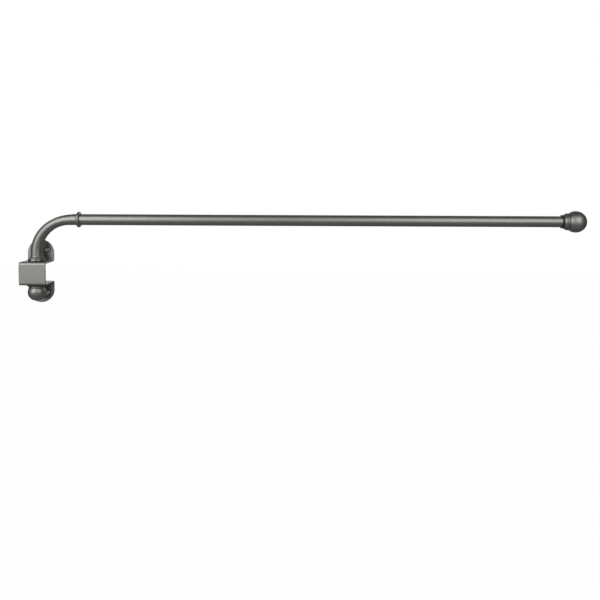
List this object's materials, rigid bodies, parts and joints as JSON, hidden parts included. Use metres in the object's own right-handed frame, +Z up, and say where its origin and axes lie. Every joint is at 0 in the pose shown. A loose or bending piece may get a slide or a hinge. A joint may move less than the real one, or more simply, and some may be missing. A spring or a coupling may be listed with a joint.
{
  "type": "swing arm curtain rod",
  "caption": "Curtain rod on a folded wall bracket: a bent arm swings on a vertical pivot and a telescopic tube ends in a ball finial.",
  "frame": {"origin": "middle of the four wall screws, on the wall plane", "axes": "+X along the rod at rest, +Y into the wall, +Z up; the vertical pivot axis is at X 0, Y -0.0185"},
  "size_m": [0.8399, 0.037, 0.1435],
  "materials": {
    "satin_pewter": "satin",
    "black_nylon": "matte",
    "bright_steel": "satin",
    "inner_tube_pewter": "satin"
  },
  "bodies": {
    "bracket": {"wall_bracket": "satin_pewter", "upper_bush": "black_nylon", "lower_bush": "black_nylon"},
    "arm": {"thrust_washer": "bright_steel", "pivot_foot": "satin_pewter", "pivot_stud": "bright_steel", "friction_washer": "satin_pewter", "pivot_knob": "satin_pewter", "elbow_tube": "satin_pewter", "joint_collar": "satin_pewter", "collar_screw": "bright_steel", "rod_tube": "satin_pewter", "mouth_bush": "black_nylon"},
    "extension": {"extension_tube": "inner_tube_pewter", "glide_bush": "black_nylon", "extension_plug": "bright_steel", "finial_stud": "bright_steel", "finial": "satin_pewter"}
  },
  "joints": [
    {"name": "arm_swing", "type": "hinge", "parent": "bracket", "child": "arm", "pos_m": [0, -0.0185, 0], "axis": [0, 0, -1], "range_deg": [0, 180]},
    {"name": "rod_extension", "type": "slide", "parent": "arm", "child": "extension", "axis": [1, 0, 0], "range_m": [0, 0.3]}
  ]
}
